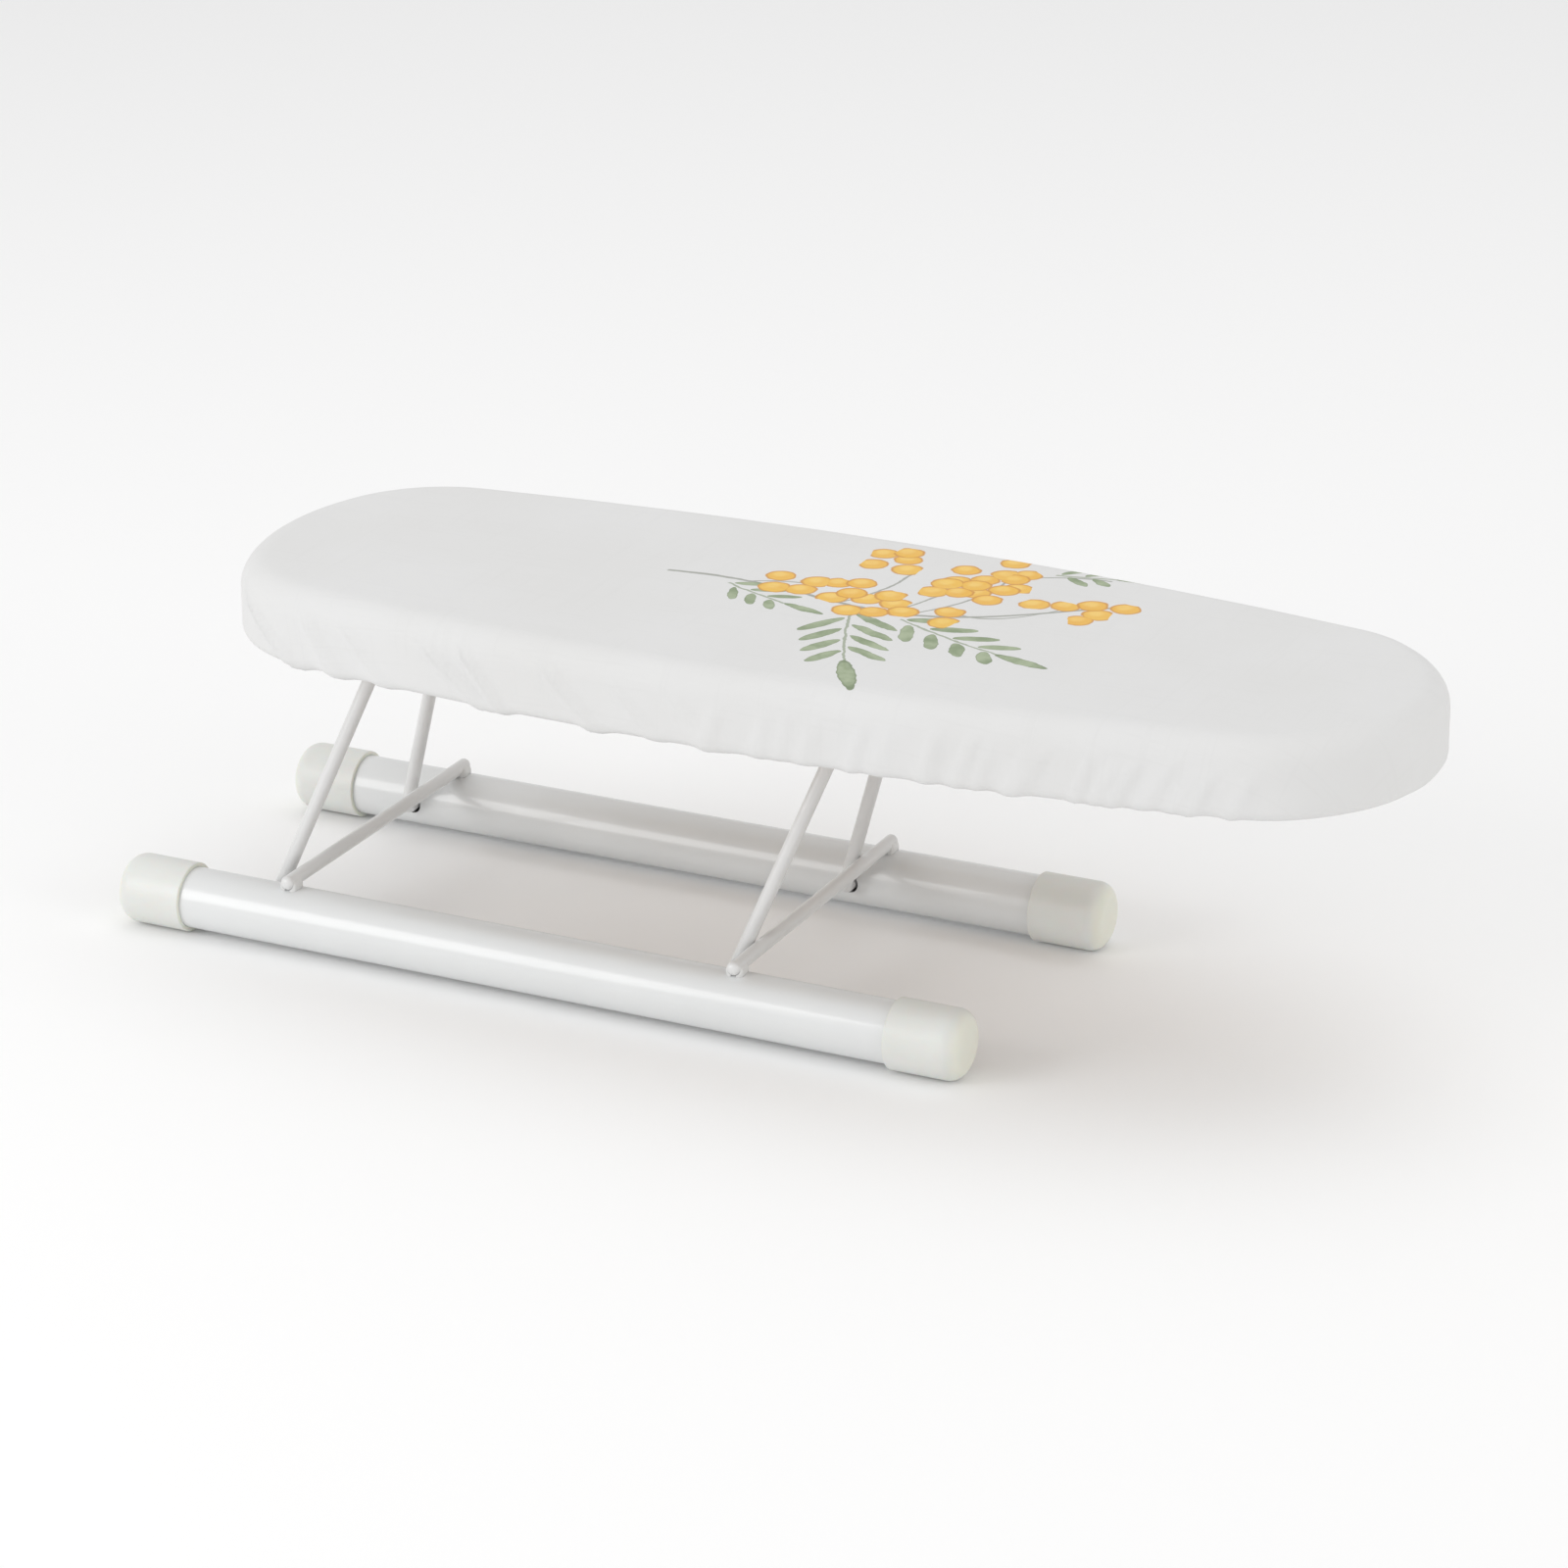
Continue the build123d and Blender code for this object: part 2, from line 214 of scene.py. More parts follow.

# %% [markdown]
# The end caps are moulded polyethylene: a satin, slightly waxy plastic, warmer
# than the paint beside it, with fine flow marks along the pull of the mould.
# The closed end is the thickest part, with no steel behind it, and its faces are
# painted lighter and yellower there, a painted glow of light through the plastic,
# so the tint follows the direction a face looks in.

# %% Cap plastic
def cap_plastic():
    finish = Finish("cap_polyethylene", IOR=1.5, Subsurface_Weight=0.12, Subsurface_Scale=0.004)
    place = finish.place()
    cloud = finish.noise(place, 60.0, 3.0)
    flow = finish.noise(place, 500.0, 2.0, stretch=(0.12, 1, 1))
    grain = finish.noise(place, 2200.0, 2.0)
    facing = finish.add("ShaderNodeNewGeometry").outputs["Normal"]
    split = finish.add("ShaderNodeSeparateXYZ", None, {0: facing})
    # Painted light: faces that look along the tube, the closed ends, are painted lighter and yellower.
    painted_end_glow = abs(Value(finish, split.outputs[0])).above(0.62, 0.7)
    wall = finish.mix(cloud.above(0.5, 0.6), (0.745, 0.75, 0.725), (0.72, 0.722, 0.69))
    finish.set(Base_Color=finish.mix(painted_end_glow * 0.8, wall, (0.78, 0.785, 0.68)))
    finish.set(Roughness=grain * 0.12 + 0.34)
    finish.bump(flow * 0.6 + grain * 0.4, 0.06 * MM)
    return finish


wear(cap_plastic(), "front_left_cap", "front_right_cap", "back_left_cap", "back_right_cap")

# %% [markdown]
# Hidden hardware gets real finishes as well, because the board is seen from
# below when it stands on a shelf: zinc plating on the clips and screws, raw
# fibreboard, and woven elastic inside the hem.

# %% Zinc plating
def zinc(name, colour, roughness):
    finish = Finish(name, Metallic=1.0)
    place = finish.place()
    spangle = finish.noise(place, 700.0, 4.0, 0.7)
    streak = finish.noise(place, 900.0, 2.0, stretch=(0.1, 1, 1))
    darker = tuple(0.72 * c for c in colour)
    finish.set(Base_Color=finish.mix(spangle.above(0.5, 0.5), colour, darker))
    finish.set(Roughness=spangle * 0.2 + roughness)
    finish.bump(streak, 0.03 * MM)
    return finish


clip_zinc = zinc("clip_zinc", (0.62, 0.63, 0.65), 0.22)
wear(clip_zinc, "left_front_clip", "left_back_clip", "right_front_clip", "right_back_clip")
wear(zinc("screw_zinc", (0.66, 0.62, 0.5), 0.18), "left_clip_screws", "right_clip_screws")


# %% Fibreboard and elastic
def fibreboard():
    finish = Finish("deck_fibreboard", Roughness=0.75)
    place = finish.place()
    fibres = finish.noise(place, 1400.0, 5.0, 0.7, stretch=(0.35, 1, 1))
    cloud = finish.noise(place, 35.0, 3.0)
    light = finish.mix(cloud.above(0.5, 0.6), (0.43, 0.30, 0.18), (0.36, 0.245, 0.145))
    finish.set(Base_Color=finish.mix(fibres.above(0.62, 0.12) * 0.6, light, (0.22, 0.14, 0.08)))
    finish.bump(fibres, 0.12 * MM)
    return finish


def elastic_tape():
    finish = Finish("elastic_tape", Roughness=0.85)
    place = finish.place()
    ribs = finish.noise(place, 1500.0, 2.0)
    finish.set(Base_Color=finish.mix(ribs, (0.72, 0.72, 0.69), (0.55, 0.55, 0.53)))
    finish.bump(ribs, 0.2 * MM)
    return finish


wear(fibreboard(), "deck_board")
wear(elastic_tape(), "hem_elastic")

# %% [markdown]
# Modelling helpers. An operator acts on everything that is selected, so each
# step starts by selecting one object alone, and in edit mode faces and edges
# are chosen in code by where they are.

# %% Modelling helpers
def alone(piece):
    """Select one object, and nothing else, and make it active."""
    if bpy.context.object and bpy.context.object.mode != "OBJECT":
        bpy.ops.object.mode_set(mode="OBJECT")
    bpy.ops.object.select_all(action="DESELECT")
    piece.select_set(True)
    bpy.context.view_layer.objects.active = piece
    return piece


def points_of(piece):
    flat = np.zeros(len(piece.data.vertices) * 3)
    piece.data.vertices.foreach_get("co", flat)
    return flat.reshape(-1, 3)


def move_points(piece, points):
    piece.data.vertices.foreach_set("co", np.ascontiguousarray(points, dtype=np.float32).ravel())
    piece.data.update()


def pick_faces(piece, chosen):
    """Select the faces whose centre passes the test, and no others."""
    bpy.ops.object.mode_set(mode="EDIT")
    bpy.ops.mesh.select_mode(type="FACE")
    bpy.ops.mesh.select_all(action="DESELECT")
    bpy.ops.object.mode_set(mode="OBJECT")
    for face in piece.data.polygons:
        face.select = bool(chosen(face))
    bpy.ops.object.mode_set(mode="EDIT")


def apply_modifiers(piece):
    alone(piece)
    for modifier in list(piece.modifiers):
        bpy.ops.object.modifier_apply(modifier=modifier.name)


def material_only(piece, finish):
    piece.data.materials.clear()
    piece.data.materials.append(finish.material)


def merged_copy(node, name):
    """A copy of a design part, with the points that share a place merged."""
    copy = bpy.data.objects.new(name, nodes[node].data.copy())
    bpy.context.scene.collection.objects.link(copy)
    alone(copy)
    bpy.ops.object.mode_set(mode="EDIT")
    bpy.ops.mesh.select_all(action="SELECT")
    bpy.ops.mesh.remove_doubles(threshold=0.001 * MM)
    bpy.ops.object.mode_set(mode="OBJECT")
    return copy


def walk(line):
    """How far along a line of points each of them lies."""
    return np.concatenate([[0], np.cumsum(np.hypot(*np.diff(line, axis=0).T))])


def spots_along(line, walked, far):
    """The places that lie far along a line in the plane."""
    return np.column_stack([np.interp(far, walked, line[:, i]) for i in (0, 1)])


# %% [markdown]
# The cover is cut flat, so its edge line has to be known first. The design's
# own cover has a flat top whose rim is where the soft edge starts to turn
# down. A copy of it is merged, all but that flat face is removed, and the rim
# is read off as evenly spaced points with the direction that faces outward.

# %% The rim of the flat top
def flat_rim(count):
    """Even points on the rim, the way outward at each, and the rim's length."""
    copy = merged_copy("cover", "rim_copy")
    top = cover_high.z - 0.01 * MM
    pick_faces(copy, lambda face: face.center.z > top)
    bpy.ops.mesh.select_all(action="INVERT")
    bpy.ops.mesh.delete(type="FACE")
    bpy.ops.mesh.select_all(action="SELECT")
    bpy.ops.mesh.dissolve_limited(angle_limit=0.02)
    bpy.ops.object.mode_set(mode="OBJECT")
    face = max(copy.data.polygons, key=lambda f: f.area)
    rim = np.array([copy.data.vertices[i].co[:2] for i in face.vertices])
    bpy.data.objects.remove(copy)
    rim = np.roll(rim, -int(rim[:, 0].argmin()), axis=0)
    closed = np.vstack([rim, rim[:1]])
    walked = walk(closed)
    even = spots_along(closed, walked, np.linspace(0, walked[-1], count, endpoint=False))
    ahead = np.roll(even, -2, axis=0) - np.roll(even, 2, axis=0)
    ahead /= np.hypot(*ahead.T)[:, None]
    outward = np.column_stack([ahead[:, 1], -ahead[:, 0]])
    if (outward * (even - even.mean(axis=0))).sum() < 0:
        outward = -outward
    return even, outward, walked[-1]


RIM_COUNT = 560
rim_points, rim_outward, rim_length = flat_rim(RIM_COUNT)
edge_round = cover_high.y - rim_points[:, 1].max()
print(f"rim {rim_length * 1000:.0f} mm long, edge round {edge_round * 1000:.1f} mm")

# %% [markdown]
# From the rim outward the cloth turns over the soft edge, hangs down the side,
# turns under the board and ends in a sewn tunnel that holds the elastic. The
# path of that wrap is a list of short stretches: how far out from the rim, and
# how high. Measured along the cloth, the same list says how far out each
# stretch lies in the flat cut, so one list makes both the cut and the wrap.

# %% The path of the wrap
CLOTH = 0.5 * MM  # thickness of the cotton
UNDER_ROUND = 3.6 * MM  # radius where the skirt turns under the board
UNDER_SHARE = 0.80  # how far up from the cover's underside to the deck it lies
TUNNEL_WIDTH = 7.0 * MM
TUNNEL_LEAD = 1.2 * MM  # how far outside the elastic the tunnel starts
ROOM_ABOVE = 0.35 * MM  # from the elastic to the tunnel's roof
ROOM_BELOW = 0.5 * MM
CORNER = 0.6 * MM  # how far the tunnel's corners are cut
SEAM_EDGE = 2.4 * MM  # how far the sewn edge reaches past the tunnel
ROUND_STEPS, SIDE_STEPS, TURN_STEPS, UNDER_STEPS = 7, 8, 4, 6

middle = CLOTH / 2
side_out = edge_round - middle
under_height = cover_low.z + (deck_low.z - cover_low.z) * UNDER_SHARE
tunnel_out = cover_high.y - elastic_high.y - TUNNEL_LEAD
tunnel_roof = elastic_high.z + ROOM_ABOVE
tunnel_floor = elastic_low.z - ROOM_BELOW
seam_height = under_height - 1.1 * CLOTH  # where the sewn edge lies on the hem


def wrap_path():
    """Points (out from the rim, height) along the wrap, about 1.8 mm apart."""
    path = [(0.0, cover_high.z - middle)]
    for turn in np.linspace(0, 90, ROUND_STEPS + 1)[1:]:
        a = math.radians(turn)
        height = cover_high.z - middle - side_out * (1 - math.cos(a))
        path.append((side_out * math.sin(a), height))
    down = cover_high.z - middle - side_out
    for share in np.linspace(0, 1, SIDE_STEPS + 1)[1:]:
        path.append((side_out, down + share * (under_height + UNDER_ROUND - down)))
    for turn in np.linspace(0, 90, TURN_STEPS + 1)[1:]:
        a = math.radians(turn)
        out = side_out - UNDER_ROUND * (1 - math.cos(a))
        path.append((out, under_height + UNDER_ROUND * (1 - math.sin(a))))
    turned = side_out - UNDER_ROUND
    inner = edge_round - tunnel_out
    for share in np.linspace(0, 1, UNDER_STEPS + 1)[1:]:
        path.append((turned + (inner - turned) * share, under_height))
    far = inner - TUNNEL_WIDTH
    tunnel = [
        (inner - 0.4 * TUNNEL_WIDTH, tunnel_roof),
        (far + CORNER, tunnel_roof),
        (far - 0.2 * MM, (tunnel_roof + tunnel_floor) / 2),
        (far + CORNER, tunnel_floor),
        (inner - 0.4 * TUNNEL_WIDTH, tunnel_floor),
        (inner - CORNER, tunnel_floor + CORNER / 2),
        (inner + CORNER / 2, seam_height),
        (inner + SEAM_EDGE, seam_height),
    ]
    return np.array(path + tunnel)


wrap = wrap_path()
wrap_lengths = walk(wrap)
print(f"the cloth reaches {wrap_lengths[-1] * 1000:.0f} mm past the rim")

# %% [markdown]
# The flat cut starts as a circle primitive whose points are set on the outer
# line of the cut. Insets then step inward, one for each stretch of the wrap,
# until they reach the rim, and the middle is filled with a grid. The flat
# positions become the cloth's own map, so that weave and print follow the
# cloth round the edge.

# %% Cut the cloth flat
def cut_cloth():
    bpy.ops.mesh.primitive_circle_add(vertices=RIM_COUNT, radius=0.2)
    cloth = bpy.context.object
    cloth.name = "cover_cloth"
    alone(cloth)
    outer = rim_points + rim_outward * wrap_lengths[-1]
    angles = np.arctan2(*points_of(cloth)[:, 1::-1].T)
    if (np.diff(np.unwrap(angles)) < 0).all() == turns_left():
        outer = outer[::-1]
    move_points(cloth, np.column_stack([outer, np.full(RIM_COUNT, cover_high.z)]))
    bpy.ops.object.mode_set(mode="EDIT")
    bpy.ops.mesh.select_all(action="SELECT")
    bpy.ops.mesh.edge_face_add()
    for step in np.diff(wrap_lengths)[::-1]:
        bpy.ops.mesh.inset(thickness=step, depth=0, use_even_offset=True)
    bpy.ops.mesh.delete(type="ONLY_FACE")
    bpy.ops.object.mode_set(mode="OBJECT")
    return cloth


def turns_left():
    """Whether the rim's points go round to the left."""
    x, y = rim_points.T
    return (x * np.roll(y, -1) - y * np.roll(x, -1)).sum() > 0


def nearest_rim(flat, batch=2000):
    """Index of the nearest rim point, and the distance past the rim."""
    index = np.zeros(len(flat), int)
    for start in range(0, len(flat), batch):
        away = flat[start : start + batch, None, :2] - rim_points[None]
        index[start : start + batch] = (away**2).sum(axis=2).argmin(axis=1)
    past = ((flat[:, :2] - rim_points[index]) * rim_outward[index]).sum(axis=1)
    return index, past


# Insets stray a little at the tight ends, so each point is set on its ring.
cover = cut_cloth()
rough = points_of(cover)
rim_index, past_rim = nearest_rim(rough)
ring = abs(past_rim[:, None] - wrap_lengths[None]).argmin(axis=1)
exact = rim_points[rim_index] + rim_outward[rim_index] * wrap_lengths[ring][:, None]
move_points(cover, np.column_stack([exact, rough[:, 2]]))
print("points that share a place:", len(ring) - len(set(zip(rim_index, ring))))

# %% Fill the top
GRID_ROWS = 64  # how many of the rim's steps lie on each short side of the grid

alone(cover)
bpy.ops.object.mode_set(mode="EDIT")
bpy.ops.mesh.select_mode(type="EDGE")
bpy.ops.mesh.select_all(action="DESELECT")
bpy.ops.object.mode_set(mode="OBJECT")
for edge in cover.data.edges:
    edge.select = bool((ring[list(edge.vertices)] == 0).all())
bpy.ops.object.mode_set(mode="EDIT")
bpy.ops.mesh.fill_grid(span=RIM_COUNT // 2 - GRID_ROWS)
bpy.ops.mesh.select_all(action="SELECT")
bpy.ops.mesh.normals_make_consistent(inside=False)
bpy.ops.object.mode_set(mode="OBJECT")
print("flat cut", len(cover.data.polygons), "faces")


# %% Keep the flat places as the cloth's map
CUT_SPAN = 0.6  # metres of cloth that the map's 0 to 1 covers


def map_cloth(cloth):
    layer = cloth.data.uv_layers.new(name="cloth")
    flat = points_of(cloth)
    corners = np.zeros(len(cloth.data.loops), int)
    cloth.data.loops.foreach_get("vertex_index", corners)
    layer.data.foreach_set("uv", (flat[corners, :2] / CUT_SPAN + 0.5).ravel())


map_cloth(cover)
flat_points = points_of(cover)

# %% [markdown]
# Each point of the flat cut knows its nearest place on the rim and how far
# past it it lies, and the wrap path says where that is on the real board. The
# gathers come from the elastic: it draws the hem in, and the spare cloth
# stands up in folds. On the front, long slanting folds lie near the wide end
# and short steep ones nearer the narrow end, which itself stays smooth.

# %% Where each point lies
rim_index, past_rim = nearest_rim(flat_points)
beyond = past_rim > -0.01 * MM
beyond[len(ring) :] = False  # the grid's points come last
past_rim = np.where(beyond, np.maximum(past_rim, 0), 0)
side_end_step = ROUND_STEPS + SIDE_STEPS + TURN_STEPS
side_start = edge_round * 0.75
side_end = float(wrap_lengths[side_end_step])
hem_end = float(wrap_lengths[side_end_step + UNDER_STEPS])
front_first = rim_points[RIM_COUNT // 4, 1] < 0
print(f"{beyond.sum()} points past the rim, the side from {side_start:.3f} to {side_end:.3f} m")

# %% Where the folds lie
# Each group of folds: where it runs from and to, as shares of the way round
# from the wide end along the front, the number of folds, how far they slant
# per unit of depth, their width and height in mm, and how deep they start.
GATHERS = [
    (0.035, 0.245, 8, 1.0, 3.2, 2.1, 0.05),
    (0.25, 0.36, 9, -0.25, 2.4, 1.3, 0.20),
    (0.36, 0.445, 9, -0.45, 2.2, 1.6, 0.22),
    (0.46, 0.54, 6, 0.0, 3.6, 0.3, 0.60),
    (0.55, 0.72, 15, 0.35, 2.6, 1.3, 0.30),
    (0.72, 0.94, 15, -0.5, 3.2, 1.5, 0.25),
    (0.945, 1.03, 9, 0.0, 2.8, 0.9, 0.45),
]
PUCKERS = 118  # small folds all round the hem
PUCKER_HEIGHT = 2.0 * MM
TUCK_DEPTH = 1.3 * MM


def puckers(share):
    """Where the elastic crowds the hem together, from 0 to 1."""
    wobble = 2.2 * np.sin(share * 2 * np.pi * 9) + 1.4 * np.sin(share * 2 * np.pi * 23)
    wave = 0.5 + 0.5 * np.sin(share * 2 * np.pi * PUCKERS + wobble)
    crowded = 0.65 + 0.35 * np.cos(share * 4 * np.pi)  # most at the two ends
    return wave**1.8 * crowded


def gather_heights(index, past):
    """How far each point stands off the board, and how far it is tucked in."""
    share = index / RIM_COUNT
    if not front_first:
        share = (1 - share) % 1
    depth = np.clip((past - side_start) / (side_end - side_start), 0, 1)
    lift = np.zeros(len(past))
    for first, last, count, slant, width, height, start in GATHERS:
        for k in range(count):
            centre = first + (last - first) * (k + 0.5 + rng.uniform(-0.35, 0.35)) / count
            lean = slant * rng.uniform(0.7, 1.3)
            tall = height * rng.uniform(0.5, 1.1) * MM
            wide = width * rng.uniform(0.7, 1.3) * MM
            begins = start * rng.uniform(0.5, 1.3)
            offset = (share - centre + 0.5) % 1 - 0.5
            across = offset * rim_length - lean * (past - side_start)
            grow = np.clip((depth - begins) / 0.3, 0, 1)
            grow = grow * grow * (3 - 2 * grow)
            spread = wide * (0.6 + 0.8 * depth)
            lift += tall * grow * np.exp(-((across / spread) ** 2))
    under = np.clip((past - side_end) / (hem_end - side_end), 0, 1)
    ripples = puckers(share)
    crisp = np.clip((past - side_end + UNDER_ROUND) / (1.5 * UNDER_ROUND), 0, 1)
    lift *= 1 - 0.85 * crisp
    lift *= 1 - under * under
    lift += PUCKER_HEIGHT * ripples * np.sin(np.pi * under) ** 1.3
    tunnel = np.clip((past - hem_end) / (wrap_lengths[-1] - hem_end), 0, 1)
    tuck = TUCK_DEPTH * ripples * np.sin(np.pi * tunnel)
    return lift, tuck


lift, tuck = gather_heights(rim_index, past_rim)
tuck[~beyond] = 0
print(f"the tallest fold stands {lift.max() * 1000:.1f} mm off the board")


# %% Wrap the cloth round the board
def wrapped(lift):
    """The cloth on the board, standing off it by lift, in metres."""
    out = np.interp(past_rim, wrap_lengths, wrap[:, 0])
    high = np.interp(past_rim, wrap_lengths, wrap[:, 1])
    slopes = np.gradient(wrap, wrap_lengths, axis=0)
    run = np.interp(past_rim, wrap_lengths, slopes[:, 0])
    fall = np.interp(past_rim, wrap_lengths, slopes[:, 1])
    size = np.maximum(np.hypot(run, fall), 1e-9)
    reach = out - fall / size * lift - tuck
    points = flat_points.copy()
    points[:, 2] = cover_high.z - middle + lift
    spot = rim_points[rim_index] + rim_outward[rim_index] * reach[:, None]
    points[beyond, :2] = spot[beyond]
    points[beyond, 2] = (high + run / size * lift)[beyond]
    return points


start_points = wrapped(np.where(beyond, lift, 0.0))
move_points(cover, start_points)

# %% [markdown]
# Real gathers are cloth with nowhere to go, and the cloth solver is meant to
# settle them: the skirt is let out by a few percent while the flat top and the
# tunnel stay where they are, so that it buckles against a board a little inside
# it. The solver keeps a millimetre between cloth and board on each side, so
# that board stands further in than the real one.
#
# As it stands, this step has next to no effect. The cut has 57 edges of no
# length, where two points share a place, and they stop the solver: all but a
# few dozen points end where they start, so the folds that show are the ones
# worked out above. Merging those points is the next thing to mend, and the
# folds then need another look.

# %% Settle the gathers
EASE = 0.032  # how much longer the free cloth is than its start
SOLVER_GAP = 2.2 * MM  # how far inside the cloth the solver's board stands
SOLVER_FILM = 1.0 * MM  # the distance the solver keeps, on each side
LARGEST_MOVE = 1.6 * MM
SETTLE_FRAMES = 16


def weigh(piece, name, weights):
    group = piece.vertex_groups.new(name=name)
    for place, weight in enumerate(weights):
        group.add([place], float(weight), "REPLACE")


def run_solver(piece, solver, frames):
    """Step a cloth modifier through its frames, and give where it ends."""
    solver.settings.effector_weights.gravity = 0
    solver.point_cache.frame_start, solver.point_cache.frame_end = 1, frames
    for step in range(1, frames + 1):
        bpy.context.scene.frame_set(step)
    ended = points_of(piece.evaluated_get(bpy.context.evaluated_depsgraph_get()))
    piece.modifiers.remove(solver)
    bpy.context.scene.frame_set(1)
    return ended


def no_further(moves, largest):
    """The same moves, each cut down to the largest that is allowed."""
    far = np.linalg.norm(moves, axis=1)
    return moves * (np.minimum(far, largest) / np.maximum(far, 1e-9))[:, None]


def settle(frames):
    board = bpy.data.objects.new("solver_board", cover.data.copy())
    bpy.context.scene.collection.objects.link(board)
    move_points(board, wrapped(np.full(len(flat_points), -SOLVER_GAP)))
    board.modifiers.new("collision", "COLLISION")
    board.collision.thickness_outer = SOLVER_FILM
    board.collision.cloth_friction = 12
    # Held by degrees: free down the side, nearly held where it turns under.
    depth = [0.4 * side_start, side_start, 0.75 * side_end, side_end, hem_end]
    held = np.interp(past_rim, depth, [1.0, 0.0, 0.0, 0.6, 1.0])
    held[~beyond] = 1.0
    free = held < 0.9
    weigh(cover, "held", held)
    alone(cover)
    solver = cover.modifiers.new("cloth", "CLOTH")
    cloth = solver.settings
    cloth.quality = 6
    cloth.mass = 0.12
    cloth.tension_stiffness = cloth.compression_stiffness = 12
    cloth.shear_stiffness = 4
    cloth.bending_stiffness = 0.25
    cloth.air_damping = 2
    cloth.vertex_group_mass = "held"
    cloth.vertex_group_shrink = "held"
    cloth.shrink_min, cloth.shrink_max = -EASE, 0.0
    solver.collision_settings.distance_min = SOLVER_FILM
    solver.collision_settings.collision_quality = 2
    scene = bpy.context.scene
    scene.frame_start, scene.frame_end = 1, frames
    moves = run_solver(cover, solver, frames) - start_points
    cover.vertex_groups.clear()
    bpy.data.objects.remove(board)
    move_points(cover, start_points + no_further(moves, LARGEST_MOVE))
    far = np.linalg.norm(moves, axis=1)
    moved = (far[free] > 0.1 * MM).sum()
    print(f"{moved} of {free.sum()} free points moved, the furthest {far.max() * 1000:.2f} mm")


settle(SETTLE_FRAMES)

# %% [markdown]
# So far the cloth is a surface with no thickness. Real cotton is half a
# millimetre thick here, and its edge shows inside the hem, so Solidify grows a
# second side, half of it inward and half outward of the settled surface.

# %% Give the cloth its thickness
alone(cover)
bpy.ops.object.shade_smooth()
thick = cover.modifiers.new("thickness", "SOLIDIFY")
thick.thickness = CLOTH
thick.offset = 0
apply_modifiers(cover)
print("cover", len(cover.data.polygons), "faces")

# %% [markdown]
# The cover is printed cotton. The print is a spray of round yellow berries on
# thin stems with feathery leaves, drawn by the shader on the cloth's own map,
# so it is a dye in the cloth and bends with it. Berries are Voronoi cells with
# a centre inside a cluster; each leaf spray is one half, mirrored over its
# stem and repeated along it.

# %% Drawing on cloth
def curve_through(along, places, degree):
    """A smooth curve through places, as a value that depends on along."""
    first, second = zip(*places)
    terms = np.polyfit(first, second, degree)
    value = along * float(terms[0]) + float(terms[1])
    for term in terms[2:]:
        value = value * along + float(term)
    return value


def stroke(along, across, places, wide, degree=2):
    """A thin line through places, which run in the direction of along."""
    first = min(place[0] for place in places)
    last = max(place[0] for place in places)
    near = abs(across - curve_through(along, places, degree)).below(wide / 2, 0.5)
    return near * along.above(first, 0.8) * along.below(last, 0.8)


def inside_ellipse(x, y, middle_x, middle_y, wide, tall):
    across, up = (x - middle_x) / wide, (y - middle_y) / tall
    return (across * across + up * up).below(1.0, 0.02)


def berries(finish, x, y, pitch, shift, clusters):
    """Mask, rim, shine and tone of round berries with centres in clusters."""
    cell_x, cell_y = x / pitch + shift, y / pitch + shift * 0.7
    cells = finish.add("ShaderNodeCombineXYZ", None, {0: cell_x, 1: cell_y}).outputs[0]
    settings = {"voronoi_dimensions": "2D", "feature": "F1"}
    made = finish.add("ShaderNodeTexVoronoi", settings, {"Vector": cells, "Scale": 1.0, "Randomness": 0.52})
    split = finish.add("ShaderNodeSeparateXYZ", None, {0: made.outputs["Position"]})
    heart_x, heart_y = (Value(finish, split.outputs[i]) for i in (0, 1))
    tones = finish.add("ShaderNodeSeparateColor", None, {0: made.outputs["Color"]})
    tone = Value(finish, tones.outputs[0])
    away_x, away_y = cell_x - heart_x, cell_y - heart_y
    out = (away_x * away_x * 0.92 + away_y * away_y).root() / (tone * 0.07 + 0.445)
    place_x, place_y = (heart_x - shift) * pitch, (heart_y - shift * 0.7) * pitch
    chosen = 0.0
    for cluster in clusters:
        inside = inside_ellipse(place_x, place_y, *cluster)
        chosen = inside if chosen == 0.0 else chosen.high(inside)
    mask = out.below(1.0, 0.1) * chosen
    rim = out.above(0.86, 0.16)
    shine = ((away_x + 0.1) * (away_x + 0.1) + (away_y - 0.12) * (away_y - 0.12)).root().below(0.22, 0.2)
    return mask, rim, shine, tone


def leaf_spray(finish, x, y, start, end, leaf, pitch, slant=0.9):
    """Mask, edge and rib of a feathery leaf from start to end, in mm."""
    run, rise = end[0] - start[0], end[1] - start[1]
    length = math.hypot(run, rise)
    along = ((x - start[0]) * run + (y - start[1]) * rise) / length
    across = ((y - start[1]) * run - (x - start[0]) * rise) / length
    bent = across - along * along * (0.1 / length)
    side = abs(bent)
    leaned = along - side * slant + bent.above(0.0, 0.1) * (pitch * 0.4)
    count = (leaned / pitch).math("FLOOR")
    from_middle = (leaned / pitch - count - 0.5) * (2 * pitch)
    reach = (1 - along * (0.35 / length)) * leaf
    half = (side - reach * 0.55) / (reach * 0.47)
    width = (1 - half * half).root() * (pitch * 0.62)
    blade = (width - abs(from_middle)).above(0.5, 0.6)
    blade = blade * count.above(-0.5, 0.1) * (count + 1).below(length / pitch - 0.3, 0.1)
    tip_along, tip_across = (along - length - leaf * 0.2) / (leaf * 0.7), bent / (leaf * 0.17)
    tip_out = tip_along * tip_along + tip_across * tip_across
    tip = tip_out.below(1.0, 0.1)
    stem = side.below(0.5, 0.4) * along.above(0.0, 0.5) * along.below(length, 0.5)
    edge = (width - abs(from_middle)).below(1.3, 0.8) * blade + tip_out.above(0.72, 0.2) * tip
    return blade.high(tip), edge.low(1.0), stem


# %% [markdown]
# The layout is a list of places on the flat cut, in millimetres from its
# middle: a main stem that ends in a curl, side branches, clusters of berries
# in two layers, so that they overlap, and four leaves. To change the pattern,
# only these lists change.

